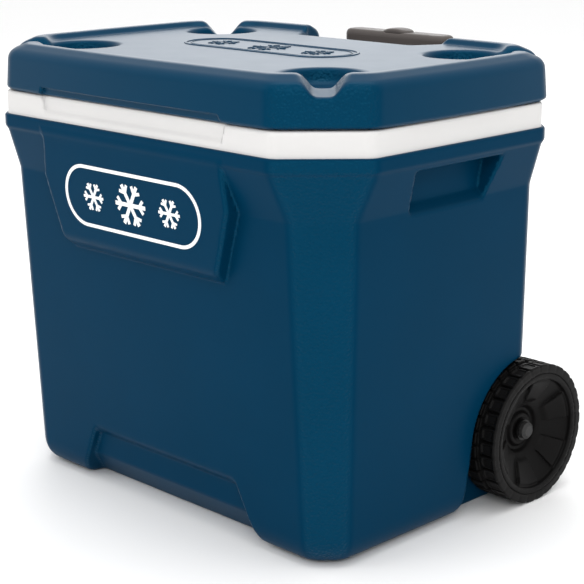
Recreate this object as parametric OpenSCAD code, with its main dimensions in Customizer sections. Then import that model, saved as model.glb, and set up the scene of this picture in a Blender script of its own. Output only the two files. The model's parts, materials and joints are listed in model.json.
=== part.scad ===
// Wheeled ice cooler with a hinged lid, a telescoping tow handle and a rear axle.
// +Z is up and the ground is at z = 0. The front faces -Y, the handle is on the +Y side,
// and x = y = 0 is the middle of the lid's outline.

/* [Overall] */
// Height of the lid's raised edge above the ground
cooler_height = 470; // [390:1:564]
// Length of the lid at its bottom edge
lid_length = 526; // [438:1:640]
// Depth of the lid at its bottom edge
lid_depth = 373; // [340:1:460]

/* [Body] */
// How far the body's wall stands in from the lid's bottom edge, under the shoulder
wall_inset = 17.5; // [12:0.5:24]
// Thickness of the outer shell's plastic
shell_wall = 3; // [2:0.1:4]
// How far the collar stands out past the lid's bottom edge
collar_overhang = 2.5; // [0:0.5:6]
// Height of the collar band
collar_height = 13; // [8:1:20]
// Height of the sloping shoulder under the collar
shoulder_height = 47; // [35:1:70]
// Draft of the front wall in degrees
front_draft = 3; // [0:0.1:4]
// Draft of the two end walls in degrees
end_draft = 2; // [0:0.1:3]
// Draft of the back wall in degrees
back_draft = 0.8; // [0:0.1:2]
// Radius of the rounded bottom edge
base_round = 25; // [12:1:35]
// Corner bevel of the walls, measured along each wall at the shoulder
wall_bevel = 41; // [25:1:60]
// Corner bevel of the collar and the rim
collar_bevel = 66; // [45:1:80]

/* [Front panel and toe recess] */
// Width of the label panel at its widest
panel_width = 278; // [180:1:300]
// Height of the label panel under the collar
panel_height = 117; // [80:1:150]
// Lean of the label panel's face in degrees
panel_lean = 4.5; // [3:0.1:6]
// Width of the label
label_width = 206; // [120:1:210]
// Height of the label
label_height = 64; // [40:1:70]
// Thickness of the label's print
label_thickness = 0.6; // [0.4:0.1:1.5]
// Width of the toe recess at its top
toe_width = 216; // [120:1:240]
// Height of the toe recess
toe_height = 66; // [40:1:80]
// Depth of the toe recess
toe_depth = 10; // [5:1:14]

/* [Hand pockets] */
// Width of each end's hand pocket at its top
pocket_width = 126; // [100:1:150]
// Height of the pocket's opening
pocket_height = 44; // [36:1:52]
// Depth of the finger slot past the wall
pocket_depth = 10; // [6:1:12]

/* [Tub] */
// Thickness of the tub's plastic
tub_wall = 3; // [2:0.1:4]
// How far the tub's mouth stands in from the lid's bottom edge
mouth_inset = 36; // [32:1:44]
// Height of the tub's floor above the ground
tub_floor = 30; // [24:1:45]
// Draft of the tub's walls in degrees
tub_draft = 2.7; // [1:0.1:3.5]
// Draft of the tub's back wall in degrees, which clears the axle
tub_back_draft = 4.4; // [4:0.1:6]
// Height of the white rim that shows over the collar
rim_height = 24; // [16:1:32]
// Thickness of the rim's skirt
rim_skirt = 7; // [5:0.5:9]

/* [Lid] */
// Height of the lid
lid_height = 47.4; // [40:0.2:60]
// Gap between the closed lid and the rim
lid_gap = 0.6; // [0.4:0.1:2]
// Thickness of the lid's plastic
lid_wall = 3; // [2:0.1:4]
// Depth of the lid's deck below its raised edge
deck_drop = 6; // [3:0.5:10]
// Crown of the lid's front and back edges
long_bow = 5; // [0:0.5:8]
// Crown of the lid's two ends
end_bow = 3.5; // [0:0.5:6]
// Corner bevel of the lid's front corners
lid_bevel_front = 67; // [50:1:80]
// Corner bevel of the lid's back corners
lid_bevel_back = 60; // [50:1:80]
// Depth of the lid's plug in the tub's mouth
plug_depth = 13; // [8:1:20]
// Diameter of each cup holder
cup_diameter = 74; // [64:1:78]
// Depth of each cup holder
cup_depth = 16; // [10:1:20]
// Distance of the cup holders from the middle, along the length
cup_x = 178; // [165:1:185]
// Distance of the cup holders from the middle, along the depth
cup_y = 100; // [92:1:104]
// Half of the handle notch's width at its front
notch_half_width = 83; // [80:1:90]
// Distance of the notch's front wall from the lid's hinge axis
notch_reach = 61; // [59:1:66]

/* [Wheels] */
// Diameter of each wheel over its tread
wheel_diameter = 148.2; // [130:0.1:160]
// Width of each tyre
wheel_width = 42; // [34:1:48]
// Diameter of the axle
axle_diameter = 12; // [8:0.5:16]
// Distance of the axle behind the middle of the lid
axle_y = 139.4; // [138:0.1:142]
// How far each wheel's inner face stands in from the end wall at the shoulder
wheel_recess = 30.5; // [24:0.5:34]
// Clearance between the tread and the wheel arch
arch_clearance = 9.5; // [6:0.5:14]
// Number of tread blocks round each tyre
tread_blocks = 30; // [18:1:40]

/* [Tow handle] */
// Width of the grip
grip_width = 148; // [140:1:156]
// Depth of the grip
grip_depth = 30; // [28:1:34]
// Height of the grip
grip_height = 27; // [25:1:32]
// Distance from the middle to each handle tube
tube_spacing = 48; // [44:1:52]
// Outer diameter of the fixed tubes
fixed_tube_diameter = 22; // [20:0.5:25]
// Travel of each of the handle's two stages
stage_travel = 260; // [160:1:270]
// Length of the release button
button_length = 38; // [30:1:44]
// Width of the release button
button_width = 20; // [14:1:22]
// Travel of the release button
button_travel = 4; // [2:0.5:4]

/* [Hinges] */
// Distance from the middle to each hinge
hinge_x = 155; // [145:1:165]
// Width of each hinge
hinge_width = 50; // [40:1:56]
// Diameter of the hinge pins
hinge_pin_diameter = 5; // [4:0.5:6]

/* [Drain] */
// Height of the drain above the ground
drain_z = 48; // [46:1:60]
// Bore of the drain spout
drain_bore = 14; // [10:1:16]
// Outer diameter of the spout
spout_diameter = 21; // [19:1:24]

/* [Fits] */
// Gap between pieces that are fixed together
seat_gap = 0.3; // [0.2:0.05:0.5]
// Radial running clearance of shafts, pins and sliding tubes
running_fit = 0.08; // [0.02:0.01:0.1]

/* [Hidden] */
$fn = 64;

shell_blue = [0.02, 0.25, 0.36];
liner_white = [0.91, 0.91, 0.90];
foam_cream = [0.93, 0.88, 0.72];
plastic_black = [0.11, 0.10, 0.10];
grip_grey = [0.40, 0.36, 0.34];
steel = [0.72, 0.73, 0.75];

// heights of the joints between the pieces, from the top down
lid_bottom = cooler_height - lid_height;
rim_top = lid_bottom - lid_gap;
collar_top = rim_top - rim_height;
collar_bottom = collar_top - collar_height;
shoulder_bottom = collar_bottom - shoulder_height;
deck_z = cooler_height - deck_drop;
rim_bottom = collar_top - 8;
collar_x = lid_length / 2 + collar_overhang;
collar_y = lid_depth / 2 + collar_overhang;
wall_x = lid_length / 2 - wall_inset;
wall_y = lid_depth / 2 - wall_inset;
wheel_inner_x = wall_x - wheel_recess;
over = 1;

// ---- outlines and lofted shapes ----

// points that round a corner p between the directions of a and b
corner_steps = 2;
function toward(p, q) = (q - p) / norm(q - p);
function rounded_corner(p, a, b, r) =
    let (s = r * tan(22.5), pa = p + s * toward(p, a), pb = p + s * toward(p, b))
    [for (i = [0:corner_steps]) let (t = i / corner_steps)
        (1 - t) * (1 - t) * pa + 2 * t * (1 - t) * p + t * t * pb];

// points inside one side from p to q, crowned outwards by bow
function side_points(p, q, bow, steps) =
    let (d = toward(p, q), out = [d[1], -d[0]])
    [for (i = [1:1:steps - 1]) let (t = i / steps, u = 2 * t - 1)
        p + t * (q - p) + bow * (1 - u * u) * out];

// an eight-sided outline, counter-clockwise: half length, front and back half depths,
// front and back corner bevels, corner radius and the crowns of the long sides and ends
function octagon(hx, yf, yb, kf, kb, r, bow_long = 0, bow_end = 0, steps = 1) =
    let (c = [[hx - kf, -yf], [hx, -yf + kf], [hx, yb - kb], [hx - kb, yb],
              [-hx + kb, yb], [-hx, yb - kb], [-hx, -yf + kf], [-hx + kf, -yf]],
         bows = [0, bow_end, 0, bow_long, 0, bow_end, 0, bow_long])
    [for (i = [0:7]) each concat(rounded_corner(c[i], c[(i + 7) % 8], c[(i + 1) % 8], r),
        i % 2 == 1 ? side_points(c[i], c[(i + 1) % 8], bows[i], steps) : [])];

function at_height(outline, z) = [for (p = outline) [p[0], p[1], z]];

// a closed solid through rings of equal count, from the lowest to the highest
module loft(rings) {
    n = len(rings[0]);
    last = (len(rings) - 1) * n;
    sides = [for (l = [0:len(rings) - 2]) for (i = [0:n - 1])
        let (a = l * n + i, b = l * n + (i + 1) % n) each [[a, a + n, b + n], [a, b + n, b]]];
    polyhedron(points = [for (ring = rings) each ring],
        faces = concat([[for (i = [0:n - 1]) i]], [[for (i = [n - 1:-1:0]) last + i]], sides));
}

// how much a 45 degree corner bevel shortens when the outline shrinks by 1
bevel_shrink = 2 - sqrt(2);

// ---- body envelope ----

corner_radius = 14;
bevel_taper = 0.04;

function fall(z) = shoulder_bottom - z;
function wall_ring(z, inset) =
    let (bevel = wall_bevel - bevel_taper * fall(z) - bevel_shrink * inset)
    at_height(octagon(wall_x - fall(z) * tan(end_draft) - inset,
        wall_y - fall(z) * tan(front_draft) - inset,
        wall_y - fall(z) * tan(back_draft) - inset, bevel, bevel, corner_radius), z);
function base_ring(angle, inset) =
    let (r = base_round - inset)
    wall_ring(inset + r * (1 - cos(angle)), inset + r * (1 - sin(angle)));
function collar_ring(z, inset) =
    let (bevel = collar_bevel - bevel_shrink * inset)
    at_height(octagon(collar_x - inset, collar_y - inset, collar_y - inset, bevel, bevel, corner_radius), z);

shoulder_step = 2.5;
module body_form(inset, top) {
    base_angles = [0, 30, 60, 90];
    step_bevel = collar_bevel - bevel_shrink * inset;
    loft(concat([for (a = base_angles) base_ring(a, inset)],
        [wall_ring(shoulder_bottom, inset)],
        [collar_ring(collar_bottom - shoulder_step, inset + shoulder_step)],
        [collar_ring(collar_bottom, inset), collar_ring(top, inset)]));
}

function front_y(z) = wall_y - fall(z) * tan(front_draft);
function back_y(z) = wall_y - fall(z) * tan(back_draft);
function end_x(z) = wall_x - fall(z) * tan(end_draft);

// a prism along Y through an outline of [x, z] points
module along_y(points, from, to) {
    translate([0, to, 0]) rotate([90, 0, 0]) linear_extrude(height = to - from) polygon(points);
}

// a prism along X through an outline of [y, z] points
module along_x(points, from, to) {
    translate([from, 0, 0]) rotate([90, 0, 90]) linear_extrude(height = to - from) polygon(points);
}

// a cylinder along X
module bar_x(r, from, to, y, z) {
    translate([from, y, z]) rotate([0, 90, 0]) cylinder(r = r, h = to - from);
}

// a cylinder along Y
module bar_y(r, from, to, x, z) {
    translate([x, to, z]) rotate([90, 0, 0]) cylinder(r = r, h = to - from);
}

module both_ends() {
    children();
    mirror([1, 0, 0]) children();
}

// raised panel that carries the label, flush with the collar
panel_low = collar_bottom - panel_height;
panel_edge = 10;
function panel_y(z) = collar_y - (collar_bottom - z) * tan(panel_lean);
module label_panel(inset) {
    w = panel_width / 2 - inset;
    top = collar_bottom + over;
    low = panel_low + inset;
    face = panel_low + panel_edge;
    root = front_y(panel_low) - 20;
    intersection() {
        along_y([[-w + 24, low], [w - 24, low], [w, top - 45], [w - 4, top], [-w + 4, top], [-w, top - 45]],
            -collar_y - 10, -root);
        along_x([[-root, low], [-panel_y(panel_low) + panel_edge + inset, low], [-panel_y(face) + inset, face],
            [-panel_y(top) + inset, top], [-root, top]], -w, w);
    }
}

// flat pad on the back under the collar, which carries the handle's upper bracket
pad_half_width = 78;
pad_low = collar_bottom - 43;
module handle_pad(inset) {
    w = pad_half_width - inset;
    root = back_y(pad_low) - 20;
    along_x([[root, pad_low + inset], [back_y(pad_low), pad_low + inset], [collar_y - inset, pad_low + 14],
        [collar_y - inset, collar_bottom + over], [root, collar_bottom + over]], -w, w);
}

// the wheel arches, open to the back and the ground
wheel_r = wheel_diameter / 2;
axle_r = axle_diameter / 2;
arch_r = wheel_r + arch_clearance;
arch_x = wheel_inner_x - 4;
arch_flare = 12;
module wheel_arches(grow) {
    front = axle_y - arch_r - grow;
    top = wheel_r + arch_r + grow;
    far = collar_y + 20;
    both_ends() {
        bar_x(arch_r + grow, arch_x - grow, collar_x + 20, axle_y, wheel_r);
        along_x([[front, wheel_r], [front - arch_flare, -over], [far, -over], [far, top], [axle_y, top]],
            arch_x - grow, collar_x + 20);
    }
}

// hand pockets under the collar, with a finger slot behind their top edge
pocket_top = collar_bottom - 7;
pocket_low = pocket_top - pocket_height;
pocket_slope = 10;
pocket_ramp = 10;
finger_slot = 6;
module hand_pockets(grow) {
    far = collar_x + 20;
    back = wall_x - pocket_depth - grow;
    lip = wall_x + 6 + grow;
    w = pocket_width / 2 + grow;
    both_ends() intersection() {
        along_y([[far, pocket_low - grow], [wall_x - grow, pocket_low - grow], [back, pocket_low + pocket_ramp],
            [back, pocket_top + finger_slot + grow], [lip, pocket_top + finger_slot + grow],
            [lip, pocket_top + grow], [far, pocket_top + grow]], -w - over, w + over);
        along_x([[-w + pocket_slope, pocket_low - grow - over], [w - pocket_slope, pocket_low - grow - over],
            [w, pocket_top], [w, pocket_top + finger_slot + grow + over],
            [-w, pocket_top + finger_slot + grow + over], [-w, pocket_top]], wall_x - 60, far);
    }
}

// shallow recess at the foot of the front wall
module toe_recess(grow) {
    far = collar_y + 20;
    w = toe_width / 2 + grow;
    foot = base_round + 5;
    low_w = w + 32;
    intersection() {
        along_y([[-low_w, -over], [low_w, -over], [w, toe_height + grow], [-w, toe_height + grow]], -far, 0);
        along_x([[-far, -over], [-far, toe_height + grow], [-front_y(toe_height), toe_height + grow],
            [-front_y(toe_height - 10) + toe_depth + grow, toe_height - 10 + grow],
            [-front_y(foot) + toe_depth + grow, foot],
            [-front_y(0) + base_round + toe_depth - 3 + grow, -over]], -low_w, low_w);
    }
}

// solid plastic that the bracket screws and the drain seat in
screw_x = 20;
upper_screw_z = pad_low + 21;
lower_screw_z = 56;
boss_half = 9;
drain_y = -60;
drain_seat = end_x(drain_z) - 2;
module inner_bosses(grow) {
    w = screw_x + boss_half + grow;
    h = boss_half + grow;
    translate([-w, collar_y - 14 - grow, upper_screw_z - h]) cube([2 * w, 30, 2 * h]);
    translate([-w, back_y(lower_screw_z) - 12 - grow, lower_screw_z - h]) cube([2 * w, 30, 2 * h]);
    bar_x(24 + grow, -drain_seat - 20, -drain_seat + shell_wall + grow, drain_y, drain_z);
}

module body_envelope(inset, top) {
    difference() {
        union() {
            body_form(inset, top);
            label_panel(inset);
            handle_pad(inset);
        }
        wheel_arches(inset);
        hand_pockets(inset);
        toe_recess(inset);
    }
}

// ---- tow handle sizes ----

handle_y = lid_depth / 2 + 18.5;
tube_wall = 1.2;
fixed_r = fixed_tube_diameter / 2;
middle_r = fixed_r - tube_wall - running_fit;
inner_r = middle_r - tube_wall - running_fit;
rod_r = 3;
press_gap = 0.05;
grip_top = cooler_height - 3;
grip_low = grip_top - grip_height;
grip_split = grip_top - 13;
bracket_width = 140;
bracket_back = handle_y + 16;
upper_bracket_top = collar_top + 14;
upper_bracket_low = pad_low + 8;
lower_bracket_low = 40;
lower_bracket_top = 72;
tube_foot = lower_bracket_low + 12;
fixed_tube_top = upper_bracket_top - 7;
middle_foot = tube_foot + 10;
middle_collar_low = upper_bracket_top + 1;
middle_top = middle_collar_low + 11;
inner_foot = middle_foot + 8;
socket_top = grip_low + 9;
screw_r = 2;
screw_head_r = 4.5;
screw_head = 4;

module bracket_screw_places() {
    for (x = [-screw_x, screw_x]) {
        translate([x, 0, upper_screw_z]) children();
        translate([x, 0, lower_screw_z]) children();
    }
}

// ---- outer shell ----

sleeve_r = axle_r + 3;
spout_r = spout_diameter / 2;
module outer_shell() {
    color(shell_blue) difference() {
        body_envelope(0, collar_top);
        difference() {
            body_envelope(shell_wall, collar_top + over);
            inner_bosses(0);
        }
        bar_x(sleeve_r + seat_gap, -arch_x - over, arch_x + over, axle_y, wheel_r);
        bar_x(spout_r + seat_gap, -collar_x, -tub_x(drain_z), drain_y, drain_z);
        bar_x(21, -collar_x, -drain_seat, drain_y, drain_z);
        for (x = [-screw_x, screw_x]) {
            bar_y(screw_r + press_gap, upper_screw_tip, collar_y + over, x, upper_screw_z);
            bar_y(screw_r + press_gap, lower_screw_tip, collar_y + over, x, lower_screw_z);
        }
    }
}

// ---- tub and rim ----

rim_flange = 4;
rim_inset = shell_wall + 0.5;
tub_round = 12;
tub_bevel = 42;
mouth_x = lid_length / 2 - mouth_inset;
mouth_y = lid_depth / 2 - mouth_inset;
hinge_y = lid_depth / 2 + 5.5;
hinge_z = lid_bottom - 1.6;
notch_y = hinge_y - notch_reach;
bay_y = notch_y - 12;
bay_half_width = notch_half_width + 14;
bump_x = arch_x - shell_wall - 13;
bump_y = axle_y - arch_r - arch_flare - shell_wall - 7;
bump_top = wheel_r + arch_r + shell_wall + 7;
tub_to_axle = mouth_y - (axle_y - sleeve_r - tub_wall - 1);
axle_clear_draft = atan(tub_to_axle / (rim_top - wheel_r - sleeve_r));
tub_back_angle = max(tub_back_draft, axle_clear_draft);
function tub_x(z) = mouth_x - (rim_top - z) * tan(tub_draft);
function tub_ring(z, grow) =
    let (bevel = tub_bevel + bevel_shrink * grow)
    at_height(octagon(tub_x(z) + grow, mouth_y - (rim_top - z) * tan(tub_draft) + grow,
        mouth_y - (rim_top - z) * tan(tub_back_angle) + grow, bevel, bevel, corner_radius), z);
module tub_form(grow, low, top) {
    r = tub_round + grow;
    angles = [15, 45, 90];
    difference() {
        loft(concat([for (a = angles) tub_ring(low + r * (1 - cos(a)), grow - r * (1 - sin(a)))],
            [tub_ring(top, grow)]));
        both_ends() translate([bump_x + grow, bump_y + grow, low - over])
            cube([collar_x, 2 * collar_y, bump_top - grow - low + over]);
        translate([-bay_half_width + grow, bay_y + grow, low - over])
            cube([2 * (bay_half_width - grow), 100, top - low + 2 * over]);
    }
}

// recess in the rim's front under the lid's finger pull
pull_half_width = 137;
pull_depth = 4;
module rim_recess() {
    y = -lid_depth / 2 + 1;
    w = pull_half_width;
    intersection() {
        along_y([[-w + 6, collar_top + 4], [w - 6, collar_top + 4], [w, rim_top + over], [-w, rim_top + over]],
            y - 20, y + pull_depth);
        along_x([[y - 20, collar_top + 3], [y, collar_top + 3], [y + pull_depth, collar_top + 10],
            [y + pull_depth, rim_top + over], [y - 20, rim_top + over]], -w, w);
    }
}

module inner_liner() {
    color(liner_white) difference() {
        union() {
            difference() {
                loft([collar_ring(rim_bottom, rim_inset), collar_ring(rim_top, rim_inset)]);
                loft([collar_ring(rim_bottom - over, rim_inset + rim_skirt),
                    collar_ring(rim_top - rim_flange, rim_inset + rim_skirt)]);
            }
            tub_form(tub_wall, tub_floor - tub_wall, rim_top);
        }
        tub_form(0, tub_floor, rim_top + over);
        rim_recess();
        bar_x(spout_r + seat_gap, -tub_x(drain_z) - 20, -tub_x(drain_z) + 20, drain_y, drain_z);
        hinge_screw_places(rim_screw_z) bar_y(screw_r, rim_screw_tip, collar_y, 0, 0);
    }
}

// ---- foam ----

module body_insulation() {
    gap = shell_wall + seat_gap;
    skirt = rim_inset + rim_skirt + seat_gap;
    color(foam_cream) difference() {
        union() {
            body_envelope(gap, rim_bottom - seat_gap);
            loft([collar_ring(pocket_top + finger_slot + gap, skirt),
                collar_ring(rim_top - rim_flange - seat_gap, skirt)]);
        }
        tub_form(tub_wall + seat_gap, tub_floor - tub_wall - seat_gap, rim_top + over);
        inner_bosses(seat_gap);
        bar_x(sleeve_r + seat_gap, -arch_x, arch_x, axle_y, wheel_r);
        bar_x(spout_r + seat_gap, -collar_x, 0, drain_y, drain_z);
    }
}

// ---- label ----

label_z = collar_bottom - 57;
label_border = 3.5;
module pill(length, height) {
    for (x = [-1, 1]) translate([x * (length - height) / 2, 0]) circle(d = height);
    square([length - height, height], center = true);
}
module snowflake(size) {
    bar = size / 11;
    for (a = [0, 60, 120]) rotate(a) square([size, bar], center = true);
    for (a = [0:60:300]) rotate(a) translate([size * 0.3, 0])
        for (side = [-1, 1]) rotate(side * 50) translate([size * 0.09, 0])
            square([size * 0.2, bar * 0.8], center = true);
}
module front_label() {
    color("white") translate([0, -panel_y(label_z), label_z]) rotate([90 + panel_lean, 0, 0])
        translate([0, 0, 0.02]) linear_extrude(height = label_thickness) {
            difference() {
                pill(label_width, label_height);
                pill(label_width - 2 * label_border, label_height - 2 * label_border);
            }
            snowflake(label_height * 0.7);
            for (side = [-1, 1]) translate([side * label_width * 0.28, 0]) snowflake(label_height * 0.48);
        }
}

// ---- lid ----

lid_bevel_height = 8;
lid_edge_round = 3;
lip_outer = 18;
lip_inner = 27;
deck_inset = 32;
bow_steps = 4;
function lid_ring(z, inset, cut) =
    at_height(octagon(lid_length / 2 - inset, lid_depth / 2 - inset, lid_depth / 2 - inset,
        lid_bevel_front - cut, lid_bevel_back - cut, corner_radius, long_bow, end_bow, bow_steps), z);
module lid_form() {
    loft([lid_ring(lid_bottom, lid_edge_round, 2), lid_ring(lid_bottom + lid_edge_round, 0, 0),
        lid_ring(cooler_height - lid_bevel_height, 2, 1), lid_ring(cooler_height, lip_outer, 3),
        lid_ring(cooler_height, lip_inner, 8), lid_ring(deck_z, deck_inset, 11)]);
}
module lid_hollow(low, gap) {
    inset = lid_edge_round + lid_wall + gap;
    loft([lid_ring(low, inset, 3), lid_ring(cooler_height - lid_bevel_height - 2, inset, 3),
        lid_ring(deck_z - lid_wall - gap, lip_outer + lid_wall + gap, 6)]);
}

// notch behind the deck for the handle's grip
notch_flare = 20;
notch_run = 34;
module lid_notch(grow) {
    w = notch_half_width + grow;
    y = notch_y - grow;
    back = hinge_y + 20;
    translate([0, 0, lid_bottom - plug_depth - over]) linear_extrude(height = cooler_height)
        polygon([[-w, y], [w, y], [w + notch_flare, y + notch_run], [w + notch_flare + 4, back],
            [-w - notch_flare - 4, back], [-w - notch_flare, y + notch_run]]);
}

// drain channels that lead from the cup holders out over the lid's corners
channel_half_top = 23;
channel_half_floor = 8.5;
channel_tilt = 10.5;
channel_floor_z = deck_z - 4;
module corner_channels(grow) {
    low = channel_half_floor + grow;
    high = channel_half_top + grow;
    for (sx = [-1, 1]) for (sy = [-1, 1])
        translate([sx * cup_x, sy * cup_y, channel_floor_z - grow])
            rotate([0, 0, atan2(sy, sx)]) rotate([0, channel_tilt, 0])
                translate([22, 0, 0]) rotate([90, 0, 90]) linear_extrude(height = 80)
                    polygon([[-low, 0], [low, 0], [high, 18], [high, 40], [-high, 40], [-high, 18]]);
}

// finger pull under the lid's front edge
pull_slot_height = 8;
pull_slot_depth = 7;
pull_slot_taper = 6;
module finger_pull(grow) {
    y = -lid_depth / 2 - long_bow;
    w = pull_half_width + grow;
    top = lid_bottom + pull_slot_height + grow;
    intersection() {
        along_y([[-w, lid_bottom - over], [w, lid_bottom - over], [w - pull_slot_taper, top],
            [-w + pull_slot_taper, top]], y - 10, y + 20);
        along_x([[y - 10, lid_bottom - over], [y + pull_slot_depth + 1 + grow, lid_bottom - over],
            [y + pull_slot_depth + grow, top], [y - 10, top]], -w, w);
    }
}

module cups(grow, top) {
    for (sx = [-1, 1]) for (sy = [-1, 1]) translate([sx * cup_x, sy * cup_y, deck_z - cup_depth - grow])
        cylinder(d = cup_diameter + 2 * grow, h = cup_depth + grow + top);
}

// flat seats for the hinge leaves in the lid's back wall, and the solid plastic behind them
seat_y = lid_depth / 2 - 0.3;
leaf_top = lid_bottom + 33;
module hinge_seats(grow, depth) {
    both_ends() translate([hinge_x - hinge_width / 2 - 1 - grow, seat_y - depth, lid_bottom - over])
        cube([hinge_width + 2 + 2 * grow, 40, leaf_top - lid_bottom + 2 + grow]);
}

lid_screw_z = lid_bottom + 22;
rim_screw_z = collar_top + 8;
rim_screw_tip = lid_depth / 2 - 6.5;
module hinge_screw_places(z) {
    both_ends() for (x = [-16, 16]) translate([hinge_x + x, 0, z]) children();
}

module lid_shell() {
    color(shell_blue) difference() {
        lid_form();
        difference() {
            lid_hollow(lid_bottom - over, 0);
            lid_notch(lid_wall);
            corner_channels(lid_wall);
            finger_pull(lid_wall);
            cups(lid_wall, over);
            hinge_seats(3, 12);
        }
        lid_notch(0);
        corner_channels(0);
        finger_pull(0);
        cups(0, 20);
        hinge_seats(0, 0);
        hinge_screw_places(lid_screw_z) bar_y(screw_r, seat_y - 8, seat_y + 10, 0, 0);
    }
}

plate_thickness = 3;
plug_clearance = 2;
plug_wall = 3;
module plug_form(inset, low, top) {
    difference() {
        loft([tub_ring(low, -plug_clearance - inset), tub_ring(top, -plug_clearance - inset)]);
        translate([-bay_half_width - plug_clearance - inset, bay_y - plug_clearance - inset, low - over])
            cube([2 * (bay_half_width + plug_clearance + inset), 100, top - low + 2 * over]);
    }
}
module lid_liner() {
    plug_low = lid_bottom - plug_depth;
    gap = lid_wall + seat_gap;
    color(liner_white) difference() {
        union() {
            intersection() {
                lid_hollow(lid_bottom - 0.1, seat_gap);
                translate([0, 0, lid_bottom]) linear_extrude(height = plate_thickness)
                    square([lid_length, lid_depth + 20], center = true);
            }
            plug_form(0, plug_low, lid_bottom + 0.1);
        }
        plug_form(plug_wall, plug_low + plug_wall, lid_bottom + plate_thickness + over);
        lid_notch(gap);
        finger_pull(gap);
        hinge_seats(3 + seat_gap, 12 + seat_gap);
    }
}

module lid_insulation() {
    gap = lid_wall + seat_gap;
    floor_z = lid_bottom + plate_thickness + seat_gap;
    color(foam_cream) difference() {
        union() {
            lid_hollow(floor_z, seat_gap);
            plug_form(plug_wall + seat_gap, lid_bottom - plug_depth + plug_wall + seat_gap, floor_z + over);
        }
        lid_notch(gap);
        corner_channels(gap);
        finger_pull(gap);
        cups(gap, over);
        hinge_seats(3 + seat_gap, 12 + seat_gap);
    }
}

// ---- hinges ----

knuckle_r = 5.2;
leaf_thickness = 2.5;
pin_r = hinge_pin_diameter / 2;
knuckle_gap = 0.4;
module leaf_plate(x0, x1, y0, low, high) {
    translate([x0, y0, low]) cube([x1 - x0, leaf_thickness, high - low]);
}
module hinge_leaves_body() {
    y0 = lid_depth / 2 - 1 + seat_gap;
    left = hinge_x - hinge_width / 2;
    right = hinge_x + hinge_width / 2;
    quarter = hinge_width / 4;
    color(plastic_black) both_ends() difference() {
        union() {
            leaf_plate(left, right, y0, collar_top + 1, hinge_z - knuckle_r - 1);
            for (x = [left, right - quarter]) {
                leaf_plate(x, x + quarter, y0, collar_top + 1, hinge_z);
                bar_x(knuckle_r, x, x + quarter, hinge_y, hinge_z);
            }
        }
        bar_x(pin_r + press_gap, left - over, right + over, hinge_y, hinge_z);
        for (x = [-16, 16]) bar_y(screw_r + press_gap, y0 - over, hinge_y, hinge_x + x, rim_screw_z);
    }
}
module hinge_leaves_lid() {
    y0 = seat_y + seat_gap;
    half = hinge_width / 4 - knuckle_gap;
    color(plastic_black) both_ends() difference() {
        union() {
            leaf_plate(hinge_x - hinge_width / 2, hinge_x + hinge_width / 2, y0, hinge_z + knuckle_r + 1, leaf_top);
            leaf_plate(hinge_x - half, hinge_x + half, y0, hinge_z, leaf_top);
            bar_x(knuckle_r, hinge_x - half, hinge_x + half, hinge_y, hinge_z);
        }
        bar_x(pin_r + running_fit, hinge_x - half - over, hinge_x + half + over, hinge_y, hinge_z);
        for (x = [-16, 16]) bar_y(screw_r + press_gap, y0 - over, hinge_y, hinge_x + x, lid_screw_z);
    }
}
module hinge_pins() {
    half = hinge_width / 2 + 1;
    color(steel) both_ends() bar_x(pin_r, hinge_x - half, hinge_x + half, hinge_y, hinge_z);
}
hinge_head_r = 3.6;
module hinge_screw(tip, face) {
    bar_y(screw_r - press_gap, tip, face + 0.1, 0, 0);
    intersection() {
        bar_y(hinge_head_r, face, face + 1.8, 0, 0);
        translate([0, face - 2.6, 0]) sphere(r = 4.5);
    }
}
module hinge_screws_body() {
    face = lid_depth / 2 - 1 + seat_gap + leaf_thickness;
    color(steel) hinge_screw_places(rim_screw_z) hinge_screw(rim_screw_tip + 0.5, face);
}
module hinge_screws_lid() {
    face = seat_y + seat_gap + leaf_thickness;
    color(steel) hinge_screw_places(lid_screw_z) hinge_screw(seat_y - 7.5, face);
}

// ---- axle and wheels ----

washer_thickness = 2.5;
hub_in = wheel_inner_x - 1;
hub_out = wheel_inner_x + 21;
hub_r = axle_r + 9;
ring_in = wheel_r - 16;
ring_out = wheel_r - 10;
axle_end = hub_out + 6;
wheel_out = wheel_inner_x + wheel_width;
module on_axle() {
    translate([0, axle_y, wheel_r]) rotate([90, 0, 90]) children();
}
module axle_sleeve() {
    color(plastic_black) on_axle() translate([0, 0, -arch_x]) difference() {
        cylinder(r = sleeve_r, h = 2 * arch_x);
        translate([0, 0, -over]) cylinder(r = axle_r + seat_gap, h = 2 * (arch_x + over));
    }
}
module axle() {
    color(steel) on_axle() translate([0, 0, -axle_end]) cylinder(r = axle_r, h = 2 * axle_end);
}
module axle_washers() {
    color(steel) both_ends() on_axle() for (x = [arch_x + seat_gap, hub_out + seat_gap])
        translate([0, 0, x]) difference() {
            cylinder(r = axle_r + 5, h = min(washer_thickness, hub_in - arch_x - 2 * seat_gap));
            translate([0, 0, -over]) cylinder(r = axle_r + seat_gap, h = 2 * washer_thickness + over);
        }
}
module axle_caps() {
    start = hub_out + washer_thickness + 2 * seat_gap;
    color(plastic_black) both_ends() on_axle() translate([0, 0, start]) difference() {
        union() {
            cylinder(r = axle_r + 3, h = axle_end - start + 1);
            translate([0, 0, axle_end - start + 1]) cylinder(r1 = axle_r + 3, r2 = axle_r, h = 2.5);
        }
        translate([0, 0, -over]) cylinder(r = axle_r + press_gap, h = axle_end - start + over + 0.1);
    }
}
spokes = 6;
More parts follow.
